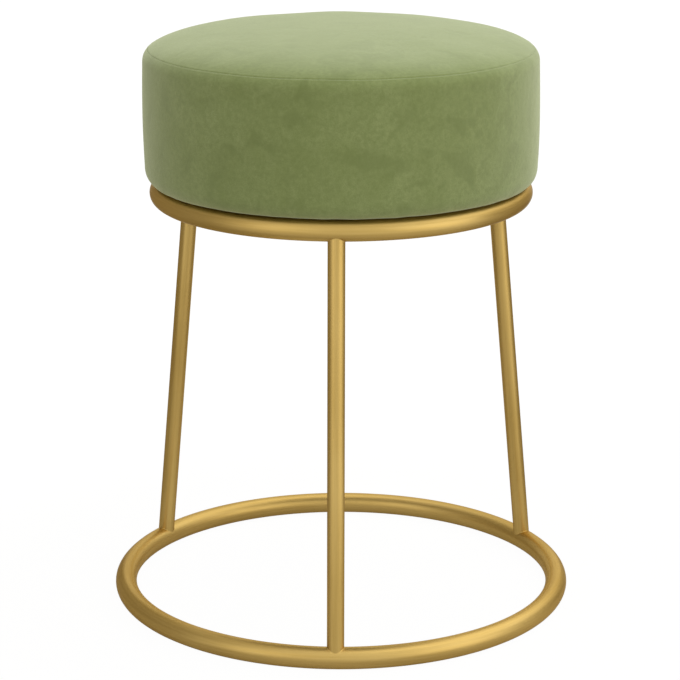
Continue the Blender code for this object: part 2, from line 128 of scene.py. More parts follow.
def set_inputs(tree, node, inputs):
    """Sets or links a node's inputs, by name or by place."""
    for key, value in inputs.items():
        if isinstance(key, int):
            socket = node.inputs[key]
        else:
            socket = next(s for s in node.inputs if s.name == key and s.enabled)
        if isinstance(value, bpy.types.NodeSocket):
            tree.links.new(value, socket)
        else:
            socket.default_value = value


def add_node(tree, kind, inputs=None, **settings):
    node = tree.nodes.new(kind)
    for key, value in settings.items():
        setattr(node, key, value)
    set_inputs(tree, node, inputs or {})
    return node


def result(tree, kind, inputs=None, **settings):
    """The one output that a new node's settings leave in use."""
    node = add_node(tree, kind, inputs, **settings)
    return next(s for s in node.outputs if s.enabled)


def maths(tree, operation, *values):
    return result(tree, "ShaderNodeMath", dict(enumerate(values)), operation=operation)


def mixed(tree, share, first, second):
    return result(tree, "ShaderNodeMix", {"Factor": share, "A": first, "B": second},
                  data_type="RGBA")


def ranged(tree, value, span, to=(0, 1)):
    """The value carried from one span to another, and held inside it."""
    ends = zip(("From Min", "From Max", "To Min", "To Max"), (*span, *to))
    return result(tree, "ShaderNodeMapRange", {"Value": value, **dict(ends)})


def clouds(tree, place, scale=1, detail=2, roughness=0.5, stretch=(1, 1, 1), warp=0):
    """Soft noise over a place, closer together where the stretch is larger."""
    spread = result(tree, "ShaderNodeMapping", {"Vector": place, "Scale": stretch})
    return result(tree, "ShaderNodeTexNoise", {
        "Vector": spread, "Scale": scale, "Detail": detail, "Roughness": roughness,
        "Distortion": warp})


def bump(tree, height, strength, depth, **over):
    """Small ups and downs of a surface, over those of another bump where one is given."""
    return result(tree, "ShaderNodeBump",
                  {"Height": height, "Strength": strength, "Distance": depth, **over})


def empty_tree(owner):
    """The node tree of a material or a room, with nothing in it yet."""
    owner.use_nodes = True
    owner.node_tree.nodes.clear()
    return owner.node_tree


def new_finish(name):
    """A material with its Principled shader, and the two places that patterns follow."""
    material = bpy.data.materials.new(name)
    tree = empty_tree(material)
    shader = add_node(tree, "ShaderNodeBsdfPrincipled")
    add_node(tree, "ShaderNodeOutputMaterial", {"Surface": shader.outputs["BSDF"]})
    place = add_node(tree, "ShaderNodeTexCoord").outputs
    return material, tree, shader, place["UV"], place["Object"]


def satin_gold():
    """Plated steel brushed along the tube: fine lengthwise lines, and soft uneven bands."""
    material, tree, shader, measured, place = new_finish("satin gold plating")
    streaks = clouds(tree, measured, detail=3, roughness=0.6, stretch=BRUSH_STREAKS)
    bands = clouds(tree, measured, detail=3, roughness=0.55, stretch=BRUSH_BANDS)
    patches = clouds(tree, place, PLATING_CLOUDS)
    lined = maths(tree, "ADD", maths(tree, "ADD", bands, patches), streaks)
    set_inputs(tree, shader, {
        "Base Color": mixed(tree, ranged(tree, lined, GOLD_TONES), GOLD_DEEP, GOLD_PALE),
        "Metallic": 1.0,
        "Specular Tint": GOLD_EDGE,
        "Roughness": ranged(tree, streaks, NOISE_MIDDLE, GOLD_ROUGHNESS),
        "Coat Weight": LACQUER,
        "Coat Roughness": LACQUER_ROUGHNESS,
        "Normal": bump(tree, streaks, BRUSH_STRENGTH, BRUSH_DEPTH)})
    return material


def placed(name, data):
    """A new object in the scene."""
    item = bpy.data.objects.new(name, data)
    bpy.context.scene.collection.objects.link(item)
    return item


def fit(name, mesh, material, slot, *nodes):
    """Puts a finished mesh in its place as a piece that stands for these CAD nodes."""
    mesh.name = name
    mesh.materials.clear()
    mesh.materials.append(material)
    piece = placed(name, mesh)
    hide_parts(*nodes)
    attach(piece, "root")
    return piece


gold = satin_gold()
fit("floor_ring_tube", tube_ring(FLOOR_RING_RADIUS, FLOOR_RING_HEIGHT), gold, "gold_frame",
    "base_ring")


# Seat ring
# The same tube rolled to a smaller circle. It lies under the edge of the cushion, and the
# legs are welded to it from below.
SEAT_RING_RADIUS = 146.25 * MM
SEAT_RING_HEIGHT = 341.5 * MM

fit("seat_ring_tube", tube_ring(SEAT_RING_RADIUS, SEAT_RING_HEIGHT), gold, "gold_frame",
    "seat_ring")


# Legs
# Three straight tubes, a little thinner than the rings, that lean out towards the floor. Each
# end is coped to its ring and welded all round, and the weld is ground to a small fillet.
LEG_RADIUS = 6.75 * MM
LEG_TURNS = {"front": -90.0, "rear_right": 30.0, "rear_left": 150.0}
LEG_STEPS = 48
LEG_ROWS = 12
WELD_REACH = 0.5 * MM
WELD_SINK = 0.04 * MM
WELD_STEPS = 10
SEARCH_REACH = 3 * TUBE_RADIUS
SEARCH_ROUNDS = 40


def ring_gap(points, radius, height):
    """How far points stand off the skin of a tube ring, and the way straight out of it."""
    x, y, z = points.T
    reach = np.hypot(x, y)
    beside = (reach - radius) / reach
    off = np.stack([x * beside, y * beside, z - height], 1)
    distance = np.linalg.norm(off, axis=1)
    return distance - TUBE_RADIUS, off / distance[:, None]


def welded_end(centre, axis, sides, radius, height):
    """Rows of points from the skin of a ring, over the weld, to the skin of the leg."""
    inside, outside = np.zeros(len(sides)), np.full(len(sides), SEARCH_REACH)
    for _ in range(SEARCH_ROUNDS):
        middle = (inside + outside) / 2
        gap, _ = ring_gap(centre + sides * LEG_RADIUS + axis * middle[:, None], radius, height)
        inside = np.where(gap < 0, middle, inside)
        outside = np.where(gap < 0, outside, middle)
    corner = centre + sides * LEG_RADIUS + axis * outside[:, None]
    on_leg = corner + axis * WELD_REACH
    on_ring = corner + sides * WELD_REACH
    for _ in range(SEARCH_ROUNDS):
        gap, out = ring_gap(on_ring, radius, height)
        on_ring = on_ring - out * gap[:, None]
    climb = ((on_ring - corner) * out).sum(1) / (axis * out).sum(1)
    bend = corner + axis * climb[:, None]
    on_ring = on_ring - out * WELD_SINK
    shares = np.linspace(0, 1, WELD_STEPS + 1)[:, None, None]
    return (1 - shares) ** 2 * on_ring + 2 * shares * (1 - shares) * bend + shares ** 2 * on_leg


def leg_tube(turn):
    foot = round_the_axis(FLOOR_RING_RADIUS, turn, FLOOR_RING_HEIGHT)
    head = round_the_axis(SEAT_RING_RADIUS, turn, SEAT_RING_HEIGHT)
    axis = (head - foot) / np.linalg.norm(head - foot)
    beside = np.cross(axis, round_the_axis(1, turn, 0))
    beside /= np.linalg.norm(beside)
    front = np.cross(beside, axis)
    roll = once_round(LEG_STEPS)
    sides = np.outer(np.cos(roll[:-1]), front) + np.outer(np.sin(roll[:-1]), beside)
    lower = welded_end(foot, axis, sides, FLOOR_RING_RADIUS, FLOOR_RING_HEIGHT)
    upper = welded_end(head, -axis, sides, SEAT_RING_RADIUS, SEAT_RING_HEIGHT)[::-1]
    shares = np.linspace(0, 1, LEG_ROWS + 1)[1:-1, None, None]
    rows = np.concatenate([lower, lower[-1] * (1 - shares) + upper[0] * shares, upper])
    steps = np.linalg.norm(np.diff(rows, axis=0), axis=2).mean(1)
    along = np.concatenate([[0], np.cumsum(steps)])
    return skin(rows, along, roll * LEG_RADIUS, caps=[foot, head])


for place, turn in LEG_TURNS.items():
    fit(place + "_leg_tube", leg_tube(math.radians(turn)), gold, "gold_frame", "leg_" + place)


# Seat tabs
# Three flat steel lugs welded inside the seat ring, each with a round tip and a hole for a
# seat screw. A short rippled weld bead runs under the edge where the lug meets the ring.
TAB_TURNS = {"rear": 90.0, "front_left": 210.0, "front_right": 330.0}
TAB_UNDER = 347.25 * MM
TAB_TOP = 350.25 * MM
TAB_HALF_WIDTH = 12 * MM
TAB_EDGE_ROUND = 0.4 * MM
TAB_HOLE_RADIUS = 3.3 * MM
TAB_HOLE_ROUND = 0.25 * MM
TAB_REACH = 24.5 * MM
TAB_STEPS = 96
TAB_SHARP = 50
SCREW_CIRCLE = 119.5 * MM
ROUND_MIDDLE = 1 - math.sqrt(0.5)
BEAD_RADIUS = 1.9 * MM
BEAD_CIRCLE = 139.6 * MM
BEAD_HEIGHT = 346.9 * MM
BEAD_RIPPLE = 0.16
BEAD_RIPPLE_PITCH = 1.7 * MM
BEAD_BLUNTNESS = 6
BEAD_END_SHARE = 0.02
BEAD_STEPS = 72
BEAD_SIDES = 14


def lathe_rows(section, turn):
    """Rows of points for a section of radius and height, turned about the upright axis."""
    return np.array([round_the_axis(r, turn, z) for r, z in section])


def tab_plate():
    """The lug lying along +X, round its hole, with softened edges."""
    turn = once_round(TAB_STEPS)[:-1]
    x, y = np.cos(turn), np.sin(turn)
    with np.errstate(divide="ignore"):
        reach = np.where(x > 0, np.minimum(TAB_HALF_WIDTH / np.abs(y), TAB_REACH / np.abs(x)),
                         TAB_HALF_WIDTH)
    low, high, hole, lip = TAB_UNDER, TAB_TOP, TAB_HOLE_RADIUS, TAB_HOLE_ROUND
    edge, soft = TAB_EDGE_ROUND, TAB_EDGE_ROUND * ROUND_MIDDLE
    section = [(hole, low + lip), (hole + lip, low), (reach - edge, low),
               (reach - soft, low + soft), (reach, low + edge), (reach, high - edge),
               (reach - soft, high - soft), (reach - edge, high), (hole + lip, high),
               (hole, high - lip)]
    return skin(lathe_rows(section, turn) + [SCREW_CIRCLE, 0, 0], ring=True)


def weld_bead():
    """A half-buried bead along the corner of ring and lug, rippled and drawn in at its ends."""
    half_turn = TAB_HALF_WIDTH / BEAD_CIRCLE
    roll = once_round(BEAD_SIDES)[:-1]
    rows = []
    for turn in np.linspace(-half_turn, half_turn, BEAD_STEPS):
        ripple = abs(math.sin(math.pi * turn * BEAD_CIRCLE / BEAD_RIPPLE_PITCH))
        taper = math.sqrt(max(1 - (turn / half_turn) ** BEAD_BLUNTNESS, BEAD_END_SHARE))
        thick = BEAD_RADIUS * taper * (1 - BEAD_RIPPLE * ripple)
        rows.append(round_the_axis(BEAD_CIRCLE + thick * np.cos(roll), turn,
                                   BEAD_HEIGHT + thick * np.sin(roll)))
    return skin(rows, caps=[rows[0].mean(0), rows[-1].mean(0)])


def joined(*meshes):
    """One mesh from several, each keeping its own closed skin."""
    objects = [placed("joined", mesh) for mesh in meshes]
    with bpy.context.temp_override(active_object=objects[0], selected_objects=objects,
                                   selected_editable_objects=objects):
        bpy.ops.object.join()
    mesh = objects[0].data
    bpy.data.objects.remove(objects[0])
    return mesh


for place, turn in TAB_TURNS.items():
    tab = joined(tab_plate(), weld_bead())
    tab.set_sharp_from_angle(angle=math.radians(TAB_SHARP))
    tab.transform(Matrix.Rotation(math.radians(turn), 4, "Z"))
    fit(place + "_seat_tab", tab, gold, "gold_frame", "seat_tab_" + place)


# Seat screws
# Zinc-plated button-head screws with a hexagon socket, one up through each tab. The head is
# pressed from wire, with a small lead-in round the mouth of its socket, and the thread rolled.
BAYS = len(TAB_TURNS)
FIRST_TAB_TURN = math.radians(TAB_TURNS["rear"])
FASTENER_STEPS = 48
FASTENER_SHARP = 35
SCREW_HEAD_RADIUS = 5.5 * MM
SCREW_UNDER = 341.95 * MM
SCREW_RIM = 344.65 * MM
SCREW_SEAT = 345.25 * MM
SCREW_TIP = 361.35 * MM
SCREW_SHANK_RADIUS = 3 * MM
SCREW_TIP_CHAMFER = 0.5 * MM
SCREW_FACE_RADIUS = 3.0 * MM
SCREW_SEED = 5
SOCKET_FLATS = 6
SOCKET_WIDTH = 4.0 * MM
SOCKET_DEPTH = 1.8 * MM
SOCKET_LEAD = 0.2 * MM
THREAD_PITCH = 1.0 * MM
THREAD_DEPTH = 0.25 * MM
DOME_ROWS = 8
ZINC_PALE = (0.66, 0.66, 0.64, 1)
ZINC_DULL = (0.47, 0.47, 0.46, 1)
ZINC_TONES = (0.6, 1.2)
ZINC_ROUGHNESS = (0.32, 0.5)
ZINC_CRYSTALS = 900
ZINC_PATCHES = 160
ZINC_GRAIN = 2500
ZINC_GRAIN_STRENGTH = 0.2
ZINC_GRAIN_DEPTH = 0.02 * MM


def zinc_plating():
    """Dull bright zinc: small overlapping crystals, a little colder and rougher in patches."""
    material, tree, shader, _, place = new_finish("zinc plated steel")
    crystals = add_node(tree, "ShaderNodeTexVoronoi", {"Vector": place, "Scale": ZINC_CRYSTALS})
    patches = clouds(tree, place, ZINC_PATCHES, detail=3, roughness=0.6)
    grain = clouds(tree, place, ZINC_GRAIN)
    tone = maths(tree, "ADD", crystals.outputs["Distance"], patches)
    set_inputs(tree, shader, {
        "Base Color": mixed(tree, ranged(tree, tone, ZINC_TONES), ZINC_DULL, ZINC_PALE),
        "Metallic": 0.95,
        "Roughness": ranged(tree, patches, NOISE_MIDDLE, ZINC_ROUGHNESS),
        "Normal": bump(tree, grain, ZINC_GRAIN_STRENGTH, ZINC_GRAIN_DEPTH)})
    return material


def screw_mesh():
    flat = math.tau / SOCKET_FLATS
    from_flat = (fastener_turn + flat / 2) % flat - flat / 2
    hexagon = SOCKET_WIDTH / 2 / np.cos(from_flat)
    floor = SCREW_UNDER + SOCKET_DEPTH
    section = [(hexagon / 2, floor), (hexagon, floor), (hexagon, SCREW_UNDER + SOCKET_LEAD),
               (hexagon + SOCKET_LEAD, SCREW_UNDER), (SCREW_FACE_RADIUS, SCREW_UNDER)]
    face_to_rim, dome_height = SCREW_HEAD_RADIUS - SCREW_FACE_RADIUS, SCREW_RIM - SCREW_UNDER
    section += [(SCREW_FACE_RADIUS + face_to_rim * math.sin(angle),
                 SCREW_RIM - dome_height * math.cos(angle))
                for angle in np.linspace(0, math.pi / 2, DOME_ROWS + 1)[1:]]
    section += [(SCREW_HEAD_RADIUS, SCREW_SEAT), (SCREW_SHANK_RADIUS, SCREW_SEAT)]
    thread_start = SCREW_SEAT + THREAD_PITCH
    thread_rows = int((SCREW_TIP - SCREW_TIP_CHAMFER - thread_start) / THREAD_PITCH * 2)
    section += [(SCREW_SHANK_RADIUS - THREAD_DEPTH * (row % 2),
                 thread_start + row * THREAD_PITCH / 2) for row in range(thread_rows + 1)]
    section.append((SCREW_SHANK_RADIUS - SCREW_TIP_CHAMFER, SCREW_TIP))
    return skin(lathe_rows(section, fastener_turn), caps=[[0, 0, floor], [0, 0, SCREW_TIP]],
                sharp=FASTENER_SHARP)


def copies_round_the_seat(template, material, *sizes):
    """Copies of a small part in equal bays round the seat, set by a Geometry Nodes tree and
    made one plain mesh. The sizes come in the order of the tree's inputs, from Bays on."""
    tree = bpy.data.node_groups.new("copies round the seat", "GeometryNodeTree")
    tree.is_modifier = True
    tree.interface.new_socket("Geometry", in_out="OUTPUT", socket_type="NodeSocketGeometry")
    kinds = {"Template": "Object", "Material": "Material", "Bays": "Int",
             "Copies in a bay": "Int", "Circle radius": "Float", "First turn": "Float",
             "Turn between copies": "Float", "Crookedness": "Float", "Seed": "Int"}
    for label, kind in kinds.items():
        tree.interface.new_socket(label, in_out="INPUT", socket_type="NodeSocket" + kind)
    given = add_node(tree, "NodeGroupInput").outputs
    one, finish, bays, in_a_bay, radius, first, between, crooked, seed = given[:len(kinds)]

    index = result(tree, "GeometryNodeInputIndex")
    bay = maths(tree, "FLOOR", maths(tree, "DIVIDE", index, in_a_bay))
    bay_turn = maths(tree, "MULTIPLY", bay, maths(tree, "DIVIDE", math.tau, bays))
    in_bay = maths(tree, "MULTIPLY", maths(tree, "MODULO", index, in_a_bay), between)
    turn = maths(tree, "ADD", maths(tree, "ADD", first, bay_turn), in_bay)
    place = result(tree, "ShaderNodeCombineXYZ", {
        "X": maths(tree, "MULTIPLY", maths(tree, "COSINE", turn), radius),
        "Y": maths(tree, "MULTIPLY", maths(tree, "SINE", turn), radius)})
    off_square = result(tree, "FunctionNodeRandomValue", {
        "Min": maths(tree, "MULTIPLY", crooked, -1.0), "Max": crooked, "Seed": seed},
        data_type="FLOAT")
    facing = result(tree, "ShaderNodeCombineXYZ", {"Z": maths(tree, "ADD", turn, off_square)})
    points = result(tree, "GeometryNodePoints", {
        "Count": maths(tree, "MULTIPLY", bays, in_a_bay), "Position": place})
    part = add_node(tree, "GeometryNodeObjectInfo", {"Object": one}).outputs["Geometry"]
    copies = result(tree, "GeometryNodeInstanceOnPoints", {
        "Points": points, "Instance": part, "Rotation": facing})
    real = result(tree, "GeometryNodeRealizeInstances", {"Geometry": copies})
    finished = result(tree, "GeometryNodeSetMaterial", {"Geometry": real, "Material": finish})
    add_node(tree, "NodeGroupOutput", {"Geometry": finished})

    pattern = placed("template", template)
    carrier = placed("carrier", bpy.data.meshes.new("carrier"))
    modifier = carrier.modifiers.new("copies", "NODES")
    modifier.node_group = tree
    inputs = [socket for socket in tree.interface.items_tree if socket.in_out == "INPUT"]
    for socket, value in zip(inputs, (pattern, material, *sizes)):
        modifier[socket.identifier] = value
    made = carrier.evaluated_get(bpy.context.evaluated_depsgraph_get())
    mesh = bpy.data.meshes.new_from_object(made)
    bpy.data.objects.remove(carrier)
    bpy.data.objects.remove(pattern)
    return mesh


def fit_at_each_tab(name, template, stem):
    """One of these at each tab, turned as chance has it, for the CAD nodes of this stem."""
    mesh = copies_round_the_seat(template, zinc, BAYS, 1, SCREW_CIRCLE, FIRST_TAB_TURN, 0.0,
                                 math.pi, SCREW_SEED)
    fit(name, mesh, zinc, "zinc_steel", *(stem + place for place in TAB_TURNS))


zinc = zinc_plating()
fastener_turn = once_round(FASTENER_STEPS)[:-1]
fit_at_each_tab("seat_screws", screw_mesh(), "seat_screw_")


# Screw washers
# Flat zinc-plated washers stamped from sheet, so the edge is rounded on one side and crisp
# on the other. One lies between each screw head and its tab.
WASHER_RADIUS = 7 * MM
WASHER_BORE = 3.3 * MM
WASHER_UNDER = 345.55 * MM
WASHER_TOP = 346.95 * MM
WASHER_ROUND = 0.35 * MM
WASHER_CRISP_SHARE = 0.25


def washer_mesh():
    low, high, radius, bore = WASHER_UNDER, WASHER_TOP, WASHER_RADIUS, WASHER_BORE
    edge, soft = WASHER_ROUND, WASHER_ROUND * ROUND_MIDDLE
    crisp = WASHER_ROUND * WASHER_CRISP_SHARE
    section = [(bore, low + edge / 2), (bore + edge / 2, low), (radius - edge, low),
               (radius - soft, low + soft), (radius, low + edge), (radius, high - crisp),
               (radius - crisp, high), (bore, high)]
    return skin(lathe_rows(section, fastener_turn), ring=True, sharp=FASTENER_SHARP)


fit_at_each_tab("screw_washers", washer_mesh(), "screw_washer_")


# Tee nuts
# Threaded zinc-plated inserts sunk into the top of the board. Their CAD solids have the
# right shape, so they stay and get the plating.
for place in TAB_TURNS:
    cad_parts["tee_nut_" + place].material_slots[0].material = zinc


# Seat board
# Round birch plywood board, cut on a router, with thin veneers crossing each other at the
# edge. Its CAD solid stays and gets the wood.
BOARD_UNDER = 352.85 * MM
PLY_LAYER = 1.5 * MM
PLY_PALE = (0.68, 0.52, 0.34, 1)
PLY_DARK = (0.50, 0.35, 0.20, 1)
PLY_ENDGRAIN = (0.40, 0.26, 0.14, 1)
PLY_GRAIN = (14, 260, 260)
PLY_GRAIN_TONES = (0.3, 0.7)
PLY_PORES = (90, 1500, 1500)
PLY_PORE_STRENGTH = 0.3
PLY_PORE_DEPTH = 0.1 * MM
PLY_CROSSING = (0.42, 0.58)
PLY_EDGE_TURNS = (0.5, 0.8)
PLY_ROUGHNESS = (0.55, 0.75)


def plywood():
    """Long grain on every second veneer and darker end grain between them."""
    material, tree, shader, _, place = new_finish("birch plywood")
    grain = clouds(tree, place, detail=5, roughness=0.6, stretch=PLY_GRAIN)
    pores = clouds(tree, place, stretch=PLY_PORES)
    height = add_node(tree, "ShaderNodeSeparateXYZ", {"Vector": place}).outputs["Z"]
    layer = maths(tree, "DIVIDE", maths(tree, "ADD", height, -BOARD_UNDER), PLY_LAYER)
    crosswise = ranged(tree, maths(tree, "PINGPONG", layer, 1.0), PLY_CROSSING)
    faces = mixed(tree, ranged(tree, grain, PLY_GRAIN_TONES), PLY_DARK, PLY_PALE)
    edge = mixed(tree, ranged(tree, pores, NOISE_MIDDLE), PLY_ENDGRAIN, PLY_DARK)
    upright = add_node(tree, "ShaderNodeNewGeometry").outputs["Normal"]
    facing_up = add_node(tree, "ShaderNodeSeparateXYZ", {"Vector": upright}).outputs["Z"]
    on_edge = ranged(tree, maths(tree, "ABSOLUTE", facing_up), PLY_EDGE_TURNS, (1, 0))
    share = maths(tree, "MULTIPLY", crosswise, on_edge)
    set_inputs(tree, shader, {
        "Base Color": mixed(tree, share, faces, edge),
        "Roughness": ranged(tree, grain, PLY_GRAIN_TONES, PLY_ROUGHNESS),
        "Normal": bump(tree, pores, PLY_PORE_STRENGTH, PLY_PORE_DEPTH)})
    return material


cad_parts["seat_board"].material_slots[0].material = plywood()


# Foam
# One round block of upholstery foam with a crowned top, glued on the board and wrapped over
# its edge. It gives the cushion its shape, and the velvet is drawn tight over it.
CUSHION_RADIUS = 158.6 * MM
CROWN_RISE = 31 * MM
CROWN_FULLNESS = 3.16
SIDE_TOP = 444.75 * MM
SIDE_HEIGHT = 81 * MM
SIDE_TAPER = 0.2 * MM
SIDE_BULGE = 0.8 * MM
FOOT_REACH = 7.1 * MM
FOOT_RISE = 12.4 * MM
HEM_UNDER = 351.35 * MM
HEM_INNER_RADIUS = 125 * MM
SEAM_RADIUS = 154.2 * MM
SEAM_GROOVE_DEPTH = 0.11 * MM
SEAM_GROOVE_WIDTH = 0.7 * MM
SEAM_LIP_PLACE = 1.3 * MM
SEAM_LIP_WIDTH = 0.6 * MM
SEAM_LIP_RISE = 0.10 * MM
PUCKER_RISE = 0.12 * MM
PUCKER_PITCH = 9 * MM
PUCKER_REACH = 5 * MM
CREASE_RISE = 0.28 * MM
CREASE_PITCH = 12 * MM
CREASE_LEAN = 0.5
CREASE_LENGTH = 4
CREASE_START = 0.25
CREASE_FADE = 2
CREASE_NOISE_SHIFT = 3
LEAST_SHARE = 0.01
HEM_PUFF = 0.6 * MM
HEM_PUFF_PLACE = 2.5 * MM
HEM_PUFF_WIDTH = 4 * MM
OUTLINE_STEPS = 1500
OUTLINE_SPAN = 0.4 * MM
CUSHION_STEPS = 576
VELVET_THICKNESS = 1.2 * MM
FOAM_CLEARANCE = 0.3 * MM
FOAM_FIRST_ROW = 1 * MM
FOAM_CROWN_ROWS = 7 * MM
FOAM_SIDE_ROWS = 6 * MM
FOAM_SEAM_ROWS = 0.5 * MM
FOAM_END_BEFORE_HEM = 2 * MM
FOAM_TURN_EVERY = 3
FOAM_SHARP = 60
ROW_GROWTH = 0.16
BOARD_RECESS_RADIUS = 150.5 * MM
BOARD_TOP_CLEAR = 365.15 * MM
CLOTH_STEPS = 96
CLOTH_SPACING = 7 * MM
CLOTH_START_INSET = 1.0 * MM
CLOTH_START_LUMPS = 1.2 * MM
CLOTH_LUMP_SIZE = 55 * MM
CLOTH_FRAMES = 20
CLOTH_CAP = 0.5 * MM
CLOTH_STILL_CENTRE = 70 * MM
CLOTH_SMOOTHING = 2
CLOTH_WAVES = 14
CLOTH_NATURE = {"quality": 7, "mass": 0.25, "tension_stiffness": 12, "compression_stiffness": 12,
                "shear_stiffness": 6, "bending_stiffness": 6, "use_pressure": True,
                "uniform_pressure_force": 1}
FOAM_PALE = (0.88, 0.84, 0.68, 1)
FOAM_CELL_SHADE_AND_PATCHES = (0.74, 0.68, 0.50, 1)
FOAM_TONES = (0, 0.6)
FOAM_CELLS = 700
FOAM_CELL_EDGES = (0.1, 0.6)
FOAM_CELL_STRENGTH = 0.6
FOAM_CELL_DEPTH = 0.4 * MM
FOAM_PATCHES = 25


def cushion_outline():
    """Radius and height of the cushion's outside, from the middle of the crown over the
    shoulder and down the side to the inner edge of the hem underneath."""
    angle = np.linspace(0, math.pi / 2, OUTLINE_STEPS)
    share = np.linspace(0, 1, OUTLINE_STEPS)[1:]
    rise = np.maximum(np.cos(angle), 0) ** (2 / CROWN_FULLNESS)
    crown = (CUSHION_RADIUS * np.sin(angle), SIDE_TOP + CROWN_RISE * rise)
    side = (CUSHION_RADIUS - SIDE_TAPER * share + 4 * SIDE_BULGE * share * (1 - share),
            SIDE_TOP - SIDE_HEIGHT * share)
    foot_radius, foot_top = CUSHION_RADIUS - SIDE_TAPER, SIDE_TOP - SIDE_HEIGHT
    foot = (foot_radius - FOOT_REACH * (1 - np.cos(angle[1:])),
            foot_top - FOOT_RISE * np.sin(angle[1:]))
    hem_start = foot_radius - FOOT_REACH
    hem = (hem_start + (HEM_INNER_RADIUS - hem_start) * share,
           np.full(len(share), HEM_UNDER))
    return (np.concatenate(part) for part in zip(crown, side, foot, hem))


outline_radius, outline_height = cushion_outline()
outline_steps = np.hypot(np.diff(outline_radius), np.diff(outline_height))
outline_along = np.concatenate([[0], np.cumsum(outline_steps)])
SEAM_AT = float(np.interp(SEAM_RADIUS, outline_radius[:OUTLINE_STEPS],
                          outline_along[:OUTLINE_STEPS]))
FOOT_AT = float(outline_along[2 * OUTLINE_STEPS - 2])
HEM_AT = float(outline_along[3 * OUTLINE_STEPS - 3])
END_AT = float(outline_along[-1])


def outside(along):
    """Radius, height and outward way of the cushion's outline at distances along it."""
    before, after = np.maximum(along - OUTLINE_SPAN, 0), np.minimum(along + OUTLINE_SPAN, END_AT)
    (r, z), (r0, z0), (r1, z1) = (
        [np.interp(places, outline_along, side) for side in (outline_radius, outline_height)]
        for places in (along, before, after))
    length = np.hypot(r1 - r0, z1 - z0)
    return r, z, (z0 - z1) / length, (r1 - r0) / length


def wrapped(along, turn, off):
    """Points that stand off the outline by these distances, in rows along it."""
    r, z, out, up = (value[:, None] for value in outside(along))
    return round_the_axis(r + out * off, turn, z + up * off)


def tightened_cloth():
    """How far velvet drawn over uneven foam ends up off the outline: a cloth simulation of
    the whole cover, held at its hem and blown tight from inside. Rows run along the outline."""
    along = np.linspace(0, END_AT, int(END_AT / CLOTH_SPACING))
    turn, moving = once_round(CLOTH_STEPS)[:-1], along[1:]
    ideal = wrapped(moving, turn, 0)
    lumps = np.array([[noise.noise(Vector(point) / CLOTH_LUMP_SIZE) for point in row]
                      for row in ideal])
    free = np.clip((FOOT_AT - moving) / FOOT_RISE + 1, 0, 1)[:, None]
    start = wrapped(moving, turn, (CLOTH_START_LUMPS * lumps - CLOTH_START_INSET) * free)
    mesh = skin(start, caps=[[0, 0, start[0, :, 2].mean()], [0, 0, HEM_UNDER]])
    cloth = placed("cushion_cloth", mesh)
    top_cap = len(mesh.vertices) - 2
    first_held = int((moving > HEM_AT - FOOT_RISE / 2).argmax()) * CLOTH_STEPS
    held = cloth.vertex_groups.new(name="held")
    held.add([*range(first_held, top_cap), top_cap + 1], 1.0, "REPLACE")
    modifier = cloth.modifiers.new("drawn tight", "CLOTH")
    settings = modifier.settings
    for key, value in CLOTH_NATURE.items():
        setattr(settings, key, value)
    settings.vertex_group_mass = "held"
    settings.effector_weights.gravity = 0
    contact = modifier.collision_settings
    contact.use_collision = contact.use_self_collision = False
    modifier.point_cache.frame_start, modifier.point_cache.frame_end = 1, CLOTH_FRAMES
    for number in range(1, CLOTH_FRAMES + 1):
        bpy.context.scene.frame_set(number)
    made = cloth.evaluated_get(bpy.context.evaluated_depsgraph_get()).to_mesh()
    points = np.zeros(len(made.vertices) * 3)
    made.vertices.foreach_get("co", points)
    points = points.reshape(-1, 3)[:top_cap].reshape(ideal.shape)
    bpy.context.scene.frame_set(1)
    bpy.data.objects.remove(cloth)
    _, _, out, up = (value[:, None] for value in outside(moving))
    off = ((points - ideal) * round_the_axis(out, turn, up)).sum(2)
    off -= off.mean(1, keepdims=True)
    off = CLOTH_CAP * np.tanh(off / CLOTH_CAP)
    off *= np.clip(moving / CLOTH_STILL_CENTRE, 0, 1)[:, None] ** 2
    for _ in range(CLOTH_SMOOTHING):
        off[1:-1] = (off[:-2] + 2 * off[1:-1] + off[2:]) / 4
    return along, np.vstack([np.zeros(CLOTH_STEPS), off])


cloth_along, cloth_off = tightened_cloth()


def hill(distance, width):
    return np.exp(-(distance / width) ** 2)


def wrinkles(share, along, turn, pitch, radius, lean=0, length=1, shift=0):
    """Small uneven waves round the cushion, leaning and drawn out as given, on the rows that
    have a share of them."""
    waves = np.zeros((len(along), len(turn)))
    size = radius / pitch
    for row in np.flatnonzero(share > LEAST_SHARE):
        height = shift + along[row] / (length * pitch)
        for column, angle in enumerate(turn + lean * (along[row] - FOOT_AT) / radius):
            waves[row, column] = noise.noise(
                Vector((math.cos(angle) * size, math.sin(angle) * size, height)))
    return share[:, None] * waves


